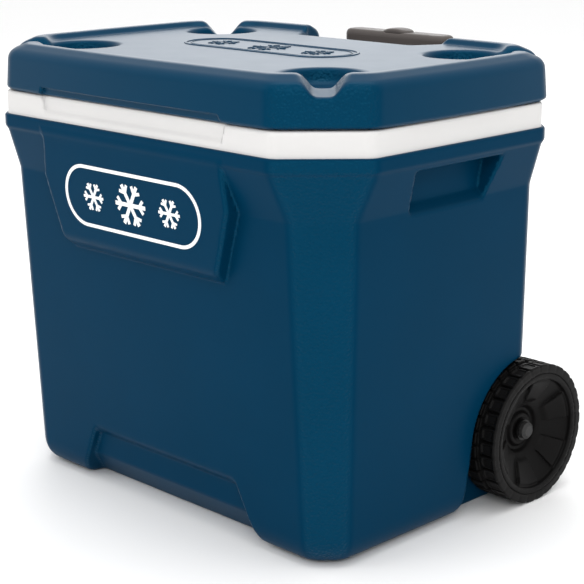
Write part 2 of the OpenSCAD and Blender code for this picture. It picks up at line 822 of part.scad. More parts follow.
module wheel_rim() {
    profile = [[hub_r - 9 + running_fit, hub_in], [hub_r, hub_in], [hub_r, hub_out - 5],
        [ring_in, wheel_out - 6], [ring_in, wheel_inner_x], [ring_out, wheel_inner_x], [ring_out, wheel_out],
        [ring_in + 1, wheel_out], [hub_r + 4, hub_out], [hub_r - 9 + running_fit, hub_out]];
    color(plastic_black) on_axle() {
        rotate_extrude() polygon(profile);
        for (i = [0:spokes - 1]) rotate(i * 360 / spokes) rotate([90, 0, 0])
            translate([0, 0, -2]) linear_extrude(height = 4)
                polygon([[hub_r - 1, hub_in + 3], [ring_in + 1, wheel_inner_x + 3],
                    [ring_in + 1, wheel_out - 5], [hub_r - 1, hub_out - 4]]);
    }
}
tread_depth = 4;
tread_row = 15;
module tyre() {
    base_r = wheel_r - tread_depth;
    bore = ring_out + press_gap;
    color(plastic_black) on_axle() difference() {
        rotate_extrude() polygon([[bore, wheel_inner_x], [wheel_r - 2, wheel_inner_x],
            [wheel_r, wheel_inner_x + 2], [wheel_r, wheel_inner_x + tread_row],
            [base_r, wheel_inner_x + tread_row], [base_r, wheel_out - tread_row],
            [wheel_r, wheel_out - tread_row], [wheel_r, wheel_out - 2], [wheel_r - 2, wheel_out],
            [bore, wheel_out]]);
        for (row = [0, 1]) for (i = [0:tread_blocks - 1]) rotate((i + row / 2) * 360 / tread_blocks)
            translate([base_r, -2.5, row == 0 ? wheel_inner_x - over : wheel_out - tread_row - over])
                cube([20, 5, tread_row + 2 * over]);
    }
}
module wheel_rim_right() { wheel_rim(); }
module wheel_rim_left() { mirror([1, 0, 0]) wheel_rim(); }
module tyre_right() { tyre(); }
module tyre_left() { mirror([1, 0, 0]) tyre(); }

// ---- tow handle ----

module at_tube(side) {
    translate([side * tube_spacing, handle_y, 0]) children();
}
module tube(outer, bore, low, high) {
    translate([0, 0, low]) difference() {
        cylinder(r = outer, h = high - low);
        translate([0, 0, -over]) cylinder(r = bore, h = high - low + 2 * over);
    }
}
module bracket_plan(front, radius) {
    w = bracket_width / 2 - radius;
    translate([-bracket_width / 2, front]) square([bracket_width, bracket_back - radius - front]);
    translate([-w, bracket_back - radius - over]) square([2 * w, radius + over]);
    for (x = [-w, w]) translate([x, bracket_back - radius]) circle(r = radius);
}
module bracket_block(front, low, high) {
    difference() {
        translate([0, 0, low]) linear_extrude(height = high - low) bracket_plan(front, 10);
        bracket_screw_places() {
            bar_y(screw_r + press_gap, front - over, bracket_back + over, 0, 0);
            bar_y(screw_head_r + seat_gap, bracket_back - screw_head - 1, bracket_back + over, 0, 0);
        }
    }
}
module upper_bracket() {
    color(plastic_black) difference() {
        bracket_block(collar_y + seat_gap, upper_bracket_low, upper_bracket_top);
        for (side = [-1, 1]) at_tube(side) {
            translate([0, 0, upper_bracket_low - over])
                cylinder(r = fixed_r + press_gap, h = fixed_tube_top - upper_bracket_low + over);
            cylinder(r = middle_r + seat_gap, h = upper_bracket_top + over);
        }
    }
}
module lower_bracket() {
    color(plastic_black) difference() {
        bracket_block(back_y(lower_bracket_top) + seat_gap, lower_bracket_low, lower_bracket_top);
        for (side = [-1, 1]) at_tube(side) translate([0, 0, tube_foot])
            cylinder(r = fixed_r + press_gap, h = lower_bracket_top - tube_foot + over);
    }
}
upper_screw_tip = collar_y - 12;
lower_screw_tip = back_y(lower_screw_z) - 10;
module bracket_screws() {
    seat = bracket_back - screw_head - 1;
    color(steel) for (x = [-screw_x, screw_x]) {
        bar_y(screw_r, upper_screw_tip + 0.5, seat, x, upper_screw_z);
        bar_y(screw_head_r, seat, seat + screw_head, x, upper_screw_z);
        bar_y(screw_r, lower_screw_tip + 0.5, seat, x, lower_screw_z);
        bar_y(screw_head_r, seat, seat + screw_head, x, lower_screw_z);
    }
}
module fixed_tube(side) {
    color(steel) at_tube(side) tube(fixed_r, fixed_r - tube_wall, tube_foot, fixed_tube_top);
}
lock_r = 2.5;
lock_z = inner_foot + 12;
module middle_tube(side) {
    color(steel) at_tube(side) difference() {
        tube(middle_r, middle_r - tube_wall, middle_foot, middle_top);
        bar_x(lock_r + running_fit, side > 0 ? 0 : -20, side > 0 ? 20 : 0, 0, lock_z + stage_travel);
    }
}
module middle_collars() {
    color(plastic_black) for (side = [-1, 1]) at_tube(side)
        tube(middle_r + 3, middle_r + press_gap, middle_collar_low, middle_top);
}
module inner_tube(side) {
    color(steel) at_tube(side) difference() {
        tube(inner_r, inner_r - tube_wall, inner_foot, socket_top);
        bar_x(lock_r + running_fit, side > 0 ? 0 : -20, side > 0 ? 20 : 0, 0, lock_z);
    }
}
plug_r = inner_r - tube_wall - press_gap;
plug_top = inner_foot + 24;
module inner_plugs() {
    color(plastic_black) for (side = [-1, 1]) at_tube(side) difference() {
        translate([0, 0, inner_foot]) cylinder(r = plug_r, h = plug_top - inner_foot);
        translate([0, 0, lock_z + 5]) cylinder(r = rod_r + running_fit, h = 40);
        bar_x(lock_r + running_fit, side > 0 ? 0 : -20, side > 0 ? 20 : 0, 0, lock_z);
    }
}
pin_retract = 1.5;
module lock_pin(side) {
    from = pin_retract + 1;
    to = inner_r - 0.6;
    color(steel) at_tube(side) bar_x(lock_r, side > 0 ? from : -to, side > 0 ? to : -from, 0, lock_z);
}
module fixed_tube_left() { fixed_tube(-1); }
module fixed_tube_right() { fixed_tube(1); }
module middle_tube_left() { middle_tube(-1); }
module middle_tube_right() { middle_tube(1); }
module inner_tube_left() { inner_tube(-1); }
module inner_tube_right() { inner_tube(1); }
module lock_pin_left() { lock_pin(-1); }
module lock_pin_right() { lock_pin(1); }

// ---- grip and release ----

grip_round = 7;
grip_end_round = 13;
module rounded_square(size, r) {
    square([size[0] - 2 * r, size[1]], center = true);
    square([size[0], size[1] - 2 * r], center = true);
    for (x = [-1, 1]) for (y = [-1, 1]) translate([x * (size[0] / 2 - r), y * (size[1] / 2 - r)]) circle(r = r);
}
module grip_form() {
    intersection() {
        translate([-grip_width / 2, handle_y, (grip_low + grip_top) / 2]) rotate([90, 0, 90])
            linear_extrude(height = grip_width) rounded_square([grip_depth, grip_height], grip_round);
        translate([0, handle_y, grip_low]) linear_extrude(height = grip_height)
            rounded_square([grip_width, grip_depth], grip_end_round);
    }
}
cavity_half = tube_spacing + 14;
cavity_low = grip_low + 4;
cavity_top = grip_top - 4;
cavity_depth = 17;
module grip_hollow() {
    difference() {
        translate([-cavity_half, handle_y - cavity_depth / 2, cavity_low])
            cube([2 * cavity_half, cavity_depth, cavity_top - cavity_low]);
        for (side = [-1, 1]) at_tube(side) translate([0, 0, cavity_low - over])
            cylinder(r = inner_r + 5, h = socket_top - cavity_low + over);
    }
}
grip_screw_x = grip_width / 2 - 6.5;
grip_screw_top = grip_split + 6;
module grip_screw_places() {
    for (x = [-grip_screw_x, grip_screw_x]) translate([x, handle_y, grip_low]) children();
}
module grip_solid() {
    difference() {
        grip_form();
        grip_hollow();
        for (side = [-1, 1]) at_tube(side) translate([0, 0, grip_low - over])
            cylinder(r = inner_r + press_gap, h = socket_top - grip_low + over);
        grip_screw_places() {
            cylinder(r = 1.5 + press_gap, h = grip_screw_top - grip_low);
            translate([0, 0, -over]) cylinder(r = 3, h = 3 + over);
        }
        translate([0, handle_y, grip_split]) linear_extrude(height = grip_height) button_plan(seat_gap);
    }
}
module grip_part(low, high) {
    intersection() {
        grip_solid();
        translate([-grip_width, handle_y - grip_depth, low]) cube([2 * grip_width, 2 * grip_depth, high - low]);
    }
}
module grip_upper() {
    color(grip_grey) grip_part(grip_split, grip_top + over);
}
module grip_lower() {
    color(grip_grey) grip_part(grip_low - over, grip_split);
}
module grip_screws() {
    color(steel) grip_screw_places() {
        translate([0, 0, 2.9]) cylinder(r = 1.5, h = grip_screw_top - grip_low - 3.4);
        translate([0, 0, 0.6]) cylinder(r = 2.8, h = 2.3);
    }
}
module button_plan(grow) {
    pill(button_length + 2 * grow, button_width + 2 * grow);
}
yoke_low = grip_split;
yoke_high = yoke_low + 4;
button_top = grip_top + button_travel;
module release_button() {
    dome = 60;
    color(grip_grey) intersection() {
        translate([0, handle_y, yoke_high]) linear_extrude(height = button_top - yoke_high) button_plan(0);
        translate([0, handle_y, button_top - dome]) sphere(r = dome, $fn = 96);
    }
}
module release_yoke() {
    color(plastic_black) {
        translate([-tube_spacing - 5, handle_y - 6, yoke_low]) cube([2 * tube_spacing + 10, 12, yoke_high - yoke_low]);
        for (side = [-1, 1]) at_tube(side) translate([0, 0, lock_z + 5 + button_travel + 1])
            cylinder(r = rod_r, h = yoke_low + over - lock_z - 6 - button_travel);
    }
}
spring_r = 5;
wire_r = 0.5;
spring_turns = 4;
wire_sides = 6;
ring_steps = 14;
module button_spring() {
    low = cavity_low + seat_gap + wire_r;
    high = yoke_low - seat_gap - wire_r;
    count = spring_turns * ring_steps;
    rings = [for (i = [0:count]) let (a = 360 * i / ring_steps, z = low + (high - low) * i / count)
        [for (k = [0:wire_sides - 1]) let (b = 360 * k / wire_sides, r = spring_r + wire_r * cos(b))
            [r * cos(a), handle_y + r * sin(a), z + wire_r * sin(b)]]];
    points = [for (ring = rings) each ring];
    last = count * wire_sides;
    sides = [for (i = [0:count - 1]) for (k = [0:wire_sides - 1])
        let (p = i * wire_sides + k, q = i * wire_sides + (k + 1) % wire_sides)
        each [[p, q, q + wire_sides], [p, q + wire_sides, p + wire_sides]]];
    color(steel) polyhedron(points = points, faces = concat(
        [[for (k = [wire_sides - 1:-1:0]) k]], [[for (k = [0:wire_sides - 1]) last + k]], sides));
}

// ---- drain ----

washer = 2;
flange_r = 19;
flange = 3;
spout_end = drain_seat + 20;
thread_pitch = 4;
ring_wall = 3.4;
cap_r = spout_r + 4;
cap_neck_r = spout_r + 2.2;
cap_start = drain_seat + washer + flange + 2;
module drain_bar(r, from, to) {
    bar_x(r, -to, -from, drain_y, drain_z);
}
module drain_washer() {
    color(plastic_black) difference() {
        drain_bar(flange_r, drain_seat + 0.1, drain_seat + 0.1 + washer);
        drain_bar(spout_r + press_gap, drain_seat - over, drain_seat + washer + over);
    }
}
nut_inner = tub_x(drain_z) - 10;
nut_thickness = 6;
module drain_spout() {
    face = drain_seat + washer + 0.2;
    color(plastic_black) difference() {
        union() {
            drain_bar(spout_r, nut_inner - 3, spout_end);
            drain_bar(flange_r, face, face + flange);
        }
        drain_bar(drain_bore / 2, nut_inner - 4, spout_end + over);
    }
}
module drain_nut() {
    color(plastic_black) difference() {
        translate([-nut_inner - nut_thickness, drain_y, drain_z]) rotate([0, 90, 0])
            cylinder(r = spout_r + 4, h = nut_thickness, $fn = 6);
        drain_bar(spout_r + press_gap, nut_inner - over, nut_inner + nut_thickness + over);
    }
}
module drain_cap() {
    grips = 12;
    color(plastic_black) difference() {
        union() {
            drain_bar(cap_r, cap_start, cap_start + 2);
            drain_bar(cap_neck_r, cap_start, spout_end + 3.5);
            drain_bar(cap_r, cap_start + 2 + ring_wall, spout_end + 3.5);
        }
        drain_bar(spout_r + running_fit, cap_start - over, spout_end + 0.5);
        for (i = [0:grips - 1]) translate([-cap_start, drain_y, drain_z]) rotate([i * 360 / grips, 0, 0])
            translate([-40, -1, cap_r - 1]) cube([40 - 3 - ring_wall, 2, 5]);
    }
}
module drain_cap_ring() {
    tab = 8;
    from = cap_start + 2 + 0.2;
    to = from + ring_wall - 0.4;
    color(plastic_black) difference() {
        union() {
            drain_bar(cap_r + 1.5, from, to);
            translate([-to, drain_y - tab / 2, drain_z]) cube([to - from, tab, cap_r + 14]);
        }
        drain_bar(cap_neck_r + running_fit, from - over, to + over);
    }
}

outer_shell();
inner_liner();
body_insulation();
front_label();
lid_shell();
lid_liner();
lid_insulation();
hinge_leaves_body();
hinge_leaves_lid();
hinge_pins();
hinge_screws_body();
hinge_screws_lid();
axle_sleeve();
axle();
axle_washers();
axle_caps();
wheel_rim_left();
wheel_rim_right();
tyre_left();
tyre_right();
upper_bracket();
lower_bracket();
bracket_screws();
fixed_tube_left();
fixed_tube_right();
middle_tube_left();
middle_tube_right();
middle_collars();
inner_tube_left();
inner_tube_right();
inner_plugs();
grip_upper();
grip_lower();
grip_screws();
release_button();
release_yoke();
button_spring();
lock_pin_left();
lock_pin_right();
drain_spout();
drain_washer();
drain_nut();
drain_cap_ring();
drain_cap();
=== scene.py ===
import json
import math

import bmesh
import bpy
import numpy as np
from mathutils import Matrix, Vector


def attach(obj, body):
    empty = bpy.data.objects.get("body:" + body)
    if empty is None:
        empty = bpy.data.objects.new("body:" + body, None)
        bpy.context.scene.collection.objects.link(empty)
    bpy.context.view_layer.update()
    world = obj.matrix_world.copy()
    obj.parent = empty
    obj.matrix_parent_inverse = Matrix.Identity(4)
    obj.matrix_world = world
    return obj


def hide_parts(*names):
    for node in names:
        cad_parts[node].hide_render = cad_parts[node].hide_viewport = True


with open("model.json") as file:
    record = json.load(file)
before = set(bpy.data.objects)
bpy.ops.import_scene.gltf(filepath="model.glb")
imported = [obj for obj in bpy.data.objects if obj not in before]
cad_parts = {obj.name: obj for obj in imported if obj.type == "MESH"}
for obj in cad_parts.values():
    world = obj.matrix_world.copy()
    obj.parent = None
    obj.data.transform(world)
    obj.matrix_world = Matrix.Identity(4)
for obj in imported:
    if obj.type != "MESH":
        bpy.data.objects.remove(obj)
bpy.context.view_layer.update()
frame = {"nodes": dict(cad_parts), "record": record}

MM = 0.001
ROOT2 = math.sqrt(2)
SETTLE_STEPS = 4
FLAT_DEGREES = 0.1
NORMAL_STEP = 0.15


def tan(degrees):
    return math.tan(math.radians(degrees))


# ---- implicit shapes: every function takes millimetres and is negative inside ----


def smax(a, b, k):
    """The larger of two fields, rounded where they meet over k millimetres."""
    h = np.maximum(k - np.abs(a - b), 0) / k
    return np.maximum(a, b) + h * h * k / 4


def smin(a, b, k):
    return -smax(-a, -b, k)


def cut(a, b, k):
    """a without b, with the edge between them rounded."""
    return smax(a, -b, k)


def soft_table(points, blur):
    """A smooth function through [input, value] corners, each rounded over blur millimetres."""
    xs = np.array([p[0] for p in points], float)
    ys = np.array([p[1] for p in points], float)
    pad = 6 * blur + 1
    t = np.arange(xs[0] - pad, xs[-1] + pad, 0.2)
    first = (ys[1] - ys[0]) / (xs[1] - xs[0])
    last = (ys[-1] - ys[-2]) / (xs[-1] - xs[-2])
    v = np.interp(t, xs, ys)
    v = np.where(t < xs[0], ys[0] + first * (t - xs[0]), v)
    v = np.where(t > xs[-1], ys[-1] + last * (t - xs[-1]), v)
    n = max(int(blur / 0.2), 1)
    kernel = np.ones(2 * n + 1) / (2 * n + 1)
    for _ in range(2):
        v = np.convolve(v, kernel, mode="valid")
        t = t[n:-n]
    return lambda q: np.interp(q, t, v)


def line(points):
    """A piecewise straight function through [input, value] corners."""
    xs = [p[0] for p in points]
    ys = [p[1] for p in points]
    return lambda q: np.interp(q, xs, ys)


def plane(y, z, p, q):
    """The signed distance in a (y, z) section from the line p to q, positive on the line's right."""
    dy, dz = q[0] - p[0], q[1] - p[1]
    n = math.hypot(dy, dz)
    return ((y - p[0]) * dz - (z - p[1]) * dy) / n


def octagon(x, y, hx, yf, yb, kf, kb, k, bow_long=0, bow_end=0, corner=1):
    """An eight-sided outline with crowned sides; corner scales the distance to the corner bevels."""
    ax = np.abs(x)
    end = ax - hx - bow_end * np.maximum(0, 1 - (y / (yf - kf)) ** 2)
    bow = bow_long * np.maximum(0, 1 - (x / (hx - kf)) ** 2)
    front = -y - yf - bow
    back = y - yb - bow
    cf = corner * (ax - y - (hx + yf - kf)) / ROOT2
    cb = corner * (ax + y - (hx + yb - kb)) / ROOT2
    shape = smax(smax(end, cf, k), cb, k)
    return smax(smax(shape, front, k), back, k)


def rounded_box(u, v, hu, hv, r):
    """A rounded rectangle with half sizes hu and hv."""
    du = np.abs(u) - hu + r
    dv = np.abs(v) - hv + r
    return np.hypot(np.maximum(du, 0), np.maximum(dv, 0)) + np.minimum(np.maximum(du, dv), 0) - r


def gradient(f, p, h):
    g = np.empty_like(p)
    for i in range(3):
        a, b = p.copy(), p.copy()
        a[:, i] += h
        b[:, i] -= h
        g[:, i] = (f(*a.T) - f(*b.T)) / (2 * h)
    return g


def surface_net(f, low, high, step):
    """A quad mesh of the surface f = 0 inside a box, with its points moved onto the surface.
    One point stands in each grid cell that the surface crosses, at the mean of its edges' crossings."""
    low = np.array(low, float) - 1.5 * step
    count = np.ceil((np.array(high, float) - low) / step).astype(int) + 3
    ax = [low[i] + step * np.arange(count[i]) for i in range(3)]
    v = f(ax[0][:, None, None], ax[1][None, :, None], ax[2][None, None, :])
    v = np.broadcast_to(v, tuple(count)).astype(np.float32)
    s = v < 0
    n = np.zeros(tuple(count - 1), np.int8)
    for a in (0, 1):
        for b in (0, 1):
            for c in (0, 1):
                n += s[a:count[0] - 1 + a, b:count[1] - 1 + b, c:count[2] - 1 + c]
    cell = (n > 0) & (n < 8)
    index = np.full(cell.shape, -1, np.int64)
    index[cell] = np.arange(int(cell.sum()))
    at = np.stack(np.nonzero(cell), 1)
    total = np.zeros((len(at), 3))
    hits = np.zeros(len(at))
    for axis in range(3):
        others = [i for i in range(3) if i != axis]
        for a in (0, 1):
            for b in (0, 1):
                p = at.copy()
                p[:, others[0]] += a
                p[:, others[1]] += b
                q = p.copy()
                q[:, axis] += 1
                va, vb = v[tuple(p.T)], v[tuple(q.T)]
                cross = (va < 0) != (vb < 0)
                t = np.where(cross, va / np.where(cross, va - vb, 1), 0)
                point = p.astype(float)
                point[:, axis] += t
                total += point * cross[:, None]
                hits += cross
    points = low + step * total / hits[:, None]
    quads = []
    for axis in range(3):
        u, w = (axis + 1) % 3, (axis + 2) % 3
        near = np.moveaxis(s, (axis, u, w), (0, 1, 2))
        cells = np.moveaxis(index, (axis, u, w), (0, 1, 2))
        a, b = near[:-1, 1:-1, 1:-1], near[1:, 1:-1, 1:-1]
        i, j, k = np.nonzero(a != b)
        outward = a[i, j, k]
        ring = np.stack([cells[i, j, k], cells[i, j + 1, k], cells[i, j + 1, k + 1], cells[i, j, k + 1]], 1)
        quads.append(np.where(outward[:, None], ring, ring[:, ::-1]))
    quads = np.concatenate(quads)
    for _ in range(SETTLE_STEPS):
        g = gradient(f, points, 0.05)
        value = f(*points.T)
        move = -(value / np.maximum((g * g).sum(1), 0.25))[:, None] * g
        reach = np.linalg.norm(move, axis=1, keepdims=True)
        points = points + move * np.minimum(1, 0.6 * step / np.maximum(reach, 1e-9))
    return points, quads


def new_mesh(name, points, faces, normals=None):
    mesh = bpy.data.meshes.new(name)
    mesh.from_pydata([tuple(p) for p in points], [], [tuple(int(i) for i in q) for q in faces])
    mesh.polygons.foreach_set("use_smooth", [True] * len(mesh.polygons))
    mesh.update()
    if normals is not None:
        mesh.normals_split_custom_set_from_vertices([tuple(n) for n in normals])
    return mesh


def add_object(name, mesh, material, body, replaced):
    piece = bpy.data.objects.new(name, mesh)
    bpy.context.scene.collection.objects.link(piece)
    mesh.materials.append(material)
    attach(piece, body)
    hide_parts(*replaced)


def moulded(name, f, low, high, step, material, body, replaced, mirror=False):
    """A closed, filleted piece from a field in millimetres, with flat areas merged and every face of more
    than four sides then split into triangles.
    """
    points, quads = surface_net(f, low, high, step)
    bm = bmesh.new()
    verts = [bm.verts.new(p) for p in points]
    for q in quads:
        try:
            bm.faces.new([verts[i] for i in q])
        except ValueError:
            pass  # the same four points already have a face
    bmesh.ops.dissolve_limit(bm, angle_limit=math.radians(FLAT_DEGREES), verts=bm.verts, edges=bm.edges)
    bmesh.ops.triangulate(bm, faces=[g for g in bm.faces if len(g.verts) > 4], ngon_method="BEAUTY")
    bm.verts.index_update()
    points = np.array([v.co for v in bm.verts], float)
    faces = [[v.index for v in g.verts] for g in bm.faces]
    bm.free()
    normals = gradient(f, points, NORMAL_STEP)
    normals /= np.maximum(np.linalg.norm(normals, axis=1, keepdims=True), 1e-9)
    if mirror:
        points[:, 0] *= -1
        normals[:, 0] *= -1
        faces = [g[::-1] for g in faces]
    mesh = new_mesh(name, points * MM, faces, normals)
    add_object(name, mesh, material, body, replaced)


# ---- materials ----


def node(tree, kind, **values):
    n = tree.nodes.new(kind)
    for key, value in values.items():
        setattr(n, key, value)
    return n


def ramp_between(tree, source, low, high, out_low, out_high):
    n = node(tree, "ShaderNodeMapRange")
    tree.links.new(source, n.inputs["Value"])
    n.inputs["From Min"].default_value = low
    n.inputs["From Max"].default_value = high
    n.inputs["To Min"].default_value = out_low
    n.inputs["To Max"].default_value = out_high
    return n.outputs["Result"]


def noise(tree, coords, scale, detail=2, rough=0.5):
    n = node(tree, "ShaderNodeTexNoise")
    tree.links.new(coords, n.inputs["Vector"])
    n.inputs["Scale"].default_value = scale
    n.inputs["Detail"].default_value = detail
    n.inputs["Roughness"].default_value = rough
    return n.outputs["Fac"]


def cells(tree, coords, scale):
    n = node(tree, "ShaderNodeTexVoronoi", feature="SMOOTH_F1")
    tree.links.new(coords, n.inputs["Vector"])
    n.inputs["Scale"].default_value = scale
    n.inputs["Smoothness"].default_value = 0.6
    return n.outputs["Distance"]


def bump(tree, height, distance, strength, under=None, invert=False):
    n = node(tree, "ShaderNodeBump", invert=invert)
    tree.links.new(height, n.inputs["Height"])
    n.inputs["Distance"].default_value = distance
    n.inputs["Strength"].default_value = strength
    if under is not None:
        tree.links.new(under, n.inputs["Normal"])
    return n.outputs["Normal"]


def mix_color(tree, factor, a, b):
    n = node(tree, "ShaderNodeMix", data_type="RGBA")
    tree.links.new(factor, n.inputs["Factor"])
    n.inputs["A"].default_value = (*a, 1)
    n.inputs["B"].default_value = (*b, 1)
    return n.outputs["Result"]


def corner_mask(tree, texture):
    """1 on faces at 45 degrees to both horizontal axes, such as corner bevels, and 0 elsewhere."""
    parts = node(tree, "ShaderNodeSeparateXYZ")
    tree.links.new(texture.outputs["Normal"], parts.inputs[0])
    product = node(tree, "ShaderNodeMath", operation="MULTIPLY")
    tree.links.new(parts.outputs["X"], product.inputs[0])
    tree.links.new(parts.outputs["Y"], product.inputs[1])
    size = node(tree, "ShaderNodeMath", operation="ABSOLUTE")
    tree.links.new(product.outputs[0], size.inputs[0])
    return ramp_between(tree, size.outputs[0], 0.20, 0.42, 0.0, 1.0)


PEBBLE_SIZE = 2.6


def surface(name, color, shade, rough, grain_size, grain, pebble=0.0, wave=0.0, metallic=0.0,
            specular=0.3, tint=(1, 1, 1), ior=1.45, uneven=0.05):
    """A moulded or metal finish: colour drift, uneven gloss, fine grain, a slow waviness, and pebbles
    on corner bevels only. Sizes are in millimetres; grain, pebble and wave set how deep each one is."""
    material = bpy.data.materials.new(name)
    material.use_nodes = True
    tree = material.node_tree
    shader = tree.nodes["Principled BSDF"]
    texture = node(tree, "ShaderNodeTexCoord")
    coords = texture.outputs["Object"]
    drift = noise(tree, coords, 9, 4, 0.55)
    blend = ramp_between(tree, drift, 0.3, 0.7, 0, 1)
    tone = mix_color(tree, blend, color, shade)
    tree.links.new(tone, shader.inputs["Base Color"])
    smudge = noise(tree, coords, 30, 5, 0.6)
    gloss = ramp_between(tree, smudge, 0.3, 0.7, rough - uneven, rough + uneven)
    tree.links.new(gloss, shader.inputs["Roughness"])
    shader.inputs["Metallic"].default_value = metallic
    shader.inputs["IOR"].default_value = ior
    shader.inputs["Specular Tint"].default_value = (*tint, 1)
    shader.inputs["Specular IOR Level"].default_value = specular
    normal = None
    if wave:
        normal = bump(tree, noise(tree, coords, 14, 1), wave * MM * 4, 0.6)
    if pebble:
        scaled = node(tree, "ShaderNodeMath", operation="MULTIPLY")
        tree.links.new(cells(tree, coords, 1000 / PEBBLE_SIZE), scaled.inputs[0])
        corners = corner_mask(tree, texture)
        tree.links.new(corners, scaled.inputs[1])
        normal = bump(tree, scaled.outputs[0], pebble * MM, 0.8, normal, invert=True)
        shine = ramp_between(tree, corners, 0, 1, specular, 0.5)
        tree.links.new(shine, shader.inputs["Specular IOR Level"])
    normal = bump(tree, noise(tree, coords, 1000 / grain_size, 3), grain * MM * 2, 1, normal)
    tree.links.new(normal, shader.inputs["Normal"])
    return material


SEA, SEA_SHADE = (0.0002, 0.030, 0.070), (0.0002, 0.028, 0.065)
SEA_TINT = (0.1, 0.6, 0.9)
blue = surface("blue_plastic", SEA, SEA_SHADE, 0.36, grain_size=1.1, grain=0.006, pebble=1.1,
               wave=0.05, tint=SEA_TINT, ior=1.32, uneven=0.02, specular=0.08)
blue_deck = surface("blue_plastic_deck", SEA, SEA_SHADE, 0.36, grain_size=1.1, grain=0.006,
                    pebble=1.1, tint=SEA_TINT, ior=1.32, uneven=0.008)
white = surface("white_plastic", (0.67, 0.66, 0.65), (0.64, 0.63, 0.62), 0.38, grain_size=1.1,
                grain=0.015, wave=0.12)
black = surface("black_plastic", (0.006, 0.006, 0.006), (0.004, 0.004, 0.004), 0.42, grain_size=0.8,
                grain=0.03)
wheel_black = surface("wheel_plastic", (0.006, 0.0055, 0.0055), (0.004, 0.004, 0.004), 0.42,
                      grain_size=0.9, grain=0.02, wave=0.1, specular=0.08)
rubber = surface("tyre_plastic", (0.007, 0.0065, 0.0065), (0.004, 0.004, 0.004), 0.48, grain_size=1.0,
                 grain=0.04, specular=0.1)
grey = surface("grip_plastic", (0.078, 0.066, 0.061), (0.070, 0.060, 0.056), 0.48, grain_size=0.7,
               grain=0.04)
steel = surface("steel", (0.56, 0.57, 0.58), (0.50, 0.51, 0.52), 0.30, grain_size=0.6, grain=0.004,
                metallic=1.0)
tube_metal = surface("tube_aluminium", (0.60, 0.61, 0.62), (0.55, 0.56, 0.57), 0.28, grain_size=0.5,
                     grain=0.004, metallic=1.0)
foam = surface("foam", (0.78, 0.70, 0.46), (0.70, 0.62, 0.40), 0.85, grain_size=1.5, grain=0.2)
print_white = surface("label_print", (0.80, 0.80, 0.79), (0.76, 0.76, 0.75), 0.40, grain_size=0.8,
                      grain=0.01)

slot_finish = {"blue_shell": blue, "white_liner": white, "foam": foam, "label_print": print_white,
               "black_plastic": black, "wheel_plastic": wheel_black, "tyre_rubber": rubber,
               "drain_rubber": rubber, "grip_grey": grey, "steel": steel, "tube_aluminium": tube_metal}
for entry in frame["record"]["materials"]:
    for name in entry.get("nodes", []):
        mesh = frame["nodes"][name].data
        mesh.materials.clear()
        mesh.materials.append(slot_finish[entry["slot"]])

# the axle's ends and washers are as black as the wheels around them
for name in ("axle", "axle_washers"):
    frame["nodes"][name].data.materials[0] = black

# ---- body ----

COLLAR_X, COLLAR_Y, COLLAR_TOP, COLLAR_LOW = 265.5, 189, 398, 385
WALL_X, WALL_Y, SHOULDER = 245.5, 169, 338
END_DRAFT, FRONT_DRAFT, BACK_DRAFT = 2, 3, 0.8
BASE = -20
WALL_BEVEL, COLLAR_BEVEL, BEVEL_TAPER = 41, 66, 0.04
CORNER_SOFT = 6


def wall_table(half, draft, collar):
    return soft_table([[BASE, half - (SHOULDER - BASE) * tan(draft)], [SHOULDER, half],
                       [COLLAR_LOW - 2.5, collar - 2.5], [COLLAR_LOW, collar], [430, collar]], 1.4)


wall_end = wall_table(WALL_X, END_DRAFT, COLLAR_X)
wall_front = wall_table(WALL_Y, FRONT_DRAFT, COLLAR_Y)
wall_back = wall_table(WALL_Y, BACK_DRAFT, COLLAR_Y)
wall_bevel = soft_table([[BASE, WALL_BEVEL - BEVEL_TAPER * (SHOULDER - BASE)], [SHOULDER, WALL_BEVEL],
                         [COLLAR_LOW - 2.5, COLLAR_BEVEL - 1.5], [COLLAR_LOW, COLLAR_BEVEL],
                         [430, COLLAR_BEVEL]], 1.4)


def front_at(z):
    return WALL_Y - (SHOULDER - z) * tan(FRONT_DRAFT)


def back_at(z):
    return WALL_Y - (SHOULDER - z) * tan(BACK_DRAFT)


PANEL_LOW, PANEL_FACE, PANEL_DRAFT = 268, 278, 4.5
PANEL_ROOT = 130
panel_half = line([[PANEL_LOW, 115], [341, 139], [386, 135]])


def panel_at(z):
    return COLLAR_Y - (COLLAR_LOW - z) * tan(PANEL_DRAFT)



def label_panel(x, y, z):
    low = (-panel_at(PANEL_LOW) + 10, PANEL_LOW)
    high = (-panel_at(PANEL_FACE), PANEL_FACE)
    face = -y - panel_at(z)
    shape = smax(smax(face, plane(y, z, high, low), 4), PANEL_LOW - z, 1)
    shape = smax(shape, np.abs(x) - panel_half(z), 5)
    return np.maximum(np.maximum(shape, y + PANEL_ROOT), z - COLLAR_LOW - 3)


PAD_HALF, PAD_LOW, PAD_FACE = 78, 342, 356


def handle_pad(x, y, z):
    slope = plane(y, z, (back_at(PAD_LOW), PAD_LOW), (COLLAR_Y, PAD_FACE))
    shape = smax(smax(y - COLLAR_Y, slope, 4), np.abs(x) - PAD_HALF, 4)
    return np.maximum(np.maximum(shape, PANEL_ROOT - y), z - COLLAR_LOW - 3)


AXLE_Y, AXLE_Z = 139.4, 74.1
ARCH_R, ARCH_X, ARCH_LEAN = 81.6, 211, 12


def wheel_arch(x, y, z):
    round_part = np.hypot(y - AXLE_Y, z - AXLE_Z) - ARCH_R
    front = AXLE_Y - ARCH_R - ARCH_LEAN * np.clip((AXLE_Z - z) / AXLE_Z, 0, 1.5) ** 1.3
    low_part = np.maximum(z - AXLE_Z, front - y)
    back_part = np.maximum(AXLE_Y - y, z - AXLE_Z - ARCH_R)
    section = np.minimum(np.minimum(round_part, low_part), back_part)
    return smax(ARCH_X - np.abs(x), section, 5)


